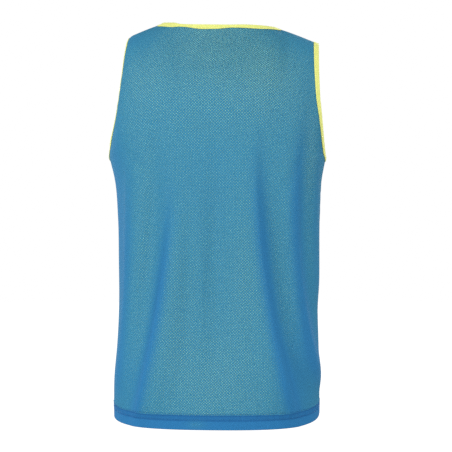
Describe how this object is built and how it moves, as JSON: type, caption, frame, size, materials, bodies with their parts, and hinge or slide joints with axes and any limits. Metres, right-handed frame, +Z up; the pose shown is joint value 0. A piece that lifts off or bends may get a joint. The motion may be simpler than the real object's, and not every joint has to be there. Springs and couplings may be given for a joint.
{
  "type": "mesh training bib",
  "caption": "Sleeveless mesh sports bib in its hollow worn shape: sea-blue outside, yellow inside, with yellow edging at the neck and armholes and a turned-up hem.",
  "frame": {"origin": "between the wearer's shoulders, where they hold the bib up: on the line of the shoulder seams, at the height of the higher neck point and half way across", "axes": "+Z up the wearer, +Y the way the wearer faces, so the back panel lies at -Y, and +X to the wearer's right"},
  "size_m": [0.3868, 0.257, 0.7048],
  "materials": {
    "blue_mesh": "matte knitted polyester mesh, sea blue",
    "yellow_mesh": "matte knitted polyester mesh, bright yellow",
    "yellow_tape": "folded knitted tape, bright yellow"
  },
  "bodies": {
    "root": {"outer_back": "blue_mesh", "outer_front": "blue_mesh", "inner_back": "yellow_mesh", "inner_front": "yellow_mesh", "neck_binding": "yellow_tape", "armhole_binding_left": "yellow_tape", "armhole_binding_right": "yellow_tape"}
  },
  "joints": []
}
